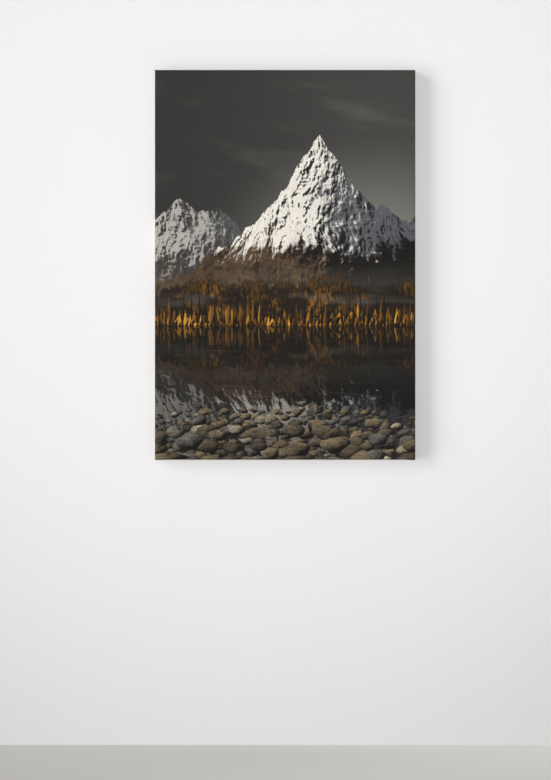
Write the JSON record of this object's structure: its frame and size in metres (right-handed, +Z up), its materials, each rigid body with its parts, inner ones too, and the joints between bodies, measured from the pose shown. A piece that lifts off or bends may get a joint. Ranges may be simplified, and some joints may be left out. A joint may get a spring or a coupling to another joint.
{
  "type": "stretched canvas picture, wall-hung",
  "caption": "Large upright canvas print wrapped round a deep keyed pine stretcher frame with a cross brace, sawtooth hangers and felt wall pads.",
  "frame": {"origin": "point of the wall plane behind the centre of the picture, where the felt pads' back faces lie", "axes": "+Z up the picture, +X to the viewer's right, +Y into the wall; the printed face looks along -Y"},
  "size_m": [0.9, 0.0431, 1.35],
  "materials": {
    "printed_canvas": "primed cotton canvas with a satin print, bare at the back",
    "pine": "planed and unfinished",
    "beech": "sawn and unfinished",
    "zinc_plate": "bright zinc plate",
    "felt": "pressed grey felt"
  },
  "bodies": {
    "root": {"canvas": "printed_canvas", "bar_top": "pine", "bar_right": "pine", "bar_bottom": "pine", "bar_left": "pine", "brace_across": "pine", "brace_upright": "pine", "brace_screw": "zinc_plate", "key_top_right_across": "beech", "key_top_right_upright": "beech", "key_bottom_right_across": "beech", "key_bottom_right_upright": "beech", "key_bottom_left_across": "beech", "key_bottom_left_upright": "beech", "key_top_left_across": "beech", "key_top_left_upright": "beech", "pad_top_right": "felt", "pad_bottom_right": "felt", "pad_bottom_left": "felt", "pad_top_left": "felt", "hanger_left": "zinc_plate", "hanger_right": "zinc_plate", "screw_left_a": "zinc_plate", "screw_left_b": "zinc_plate", "screw_right_a": "zinc_plate", "screw_right_b": "zinc_plate"}
  },
  "joints": []
}
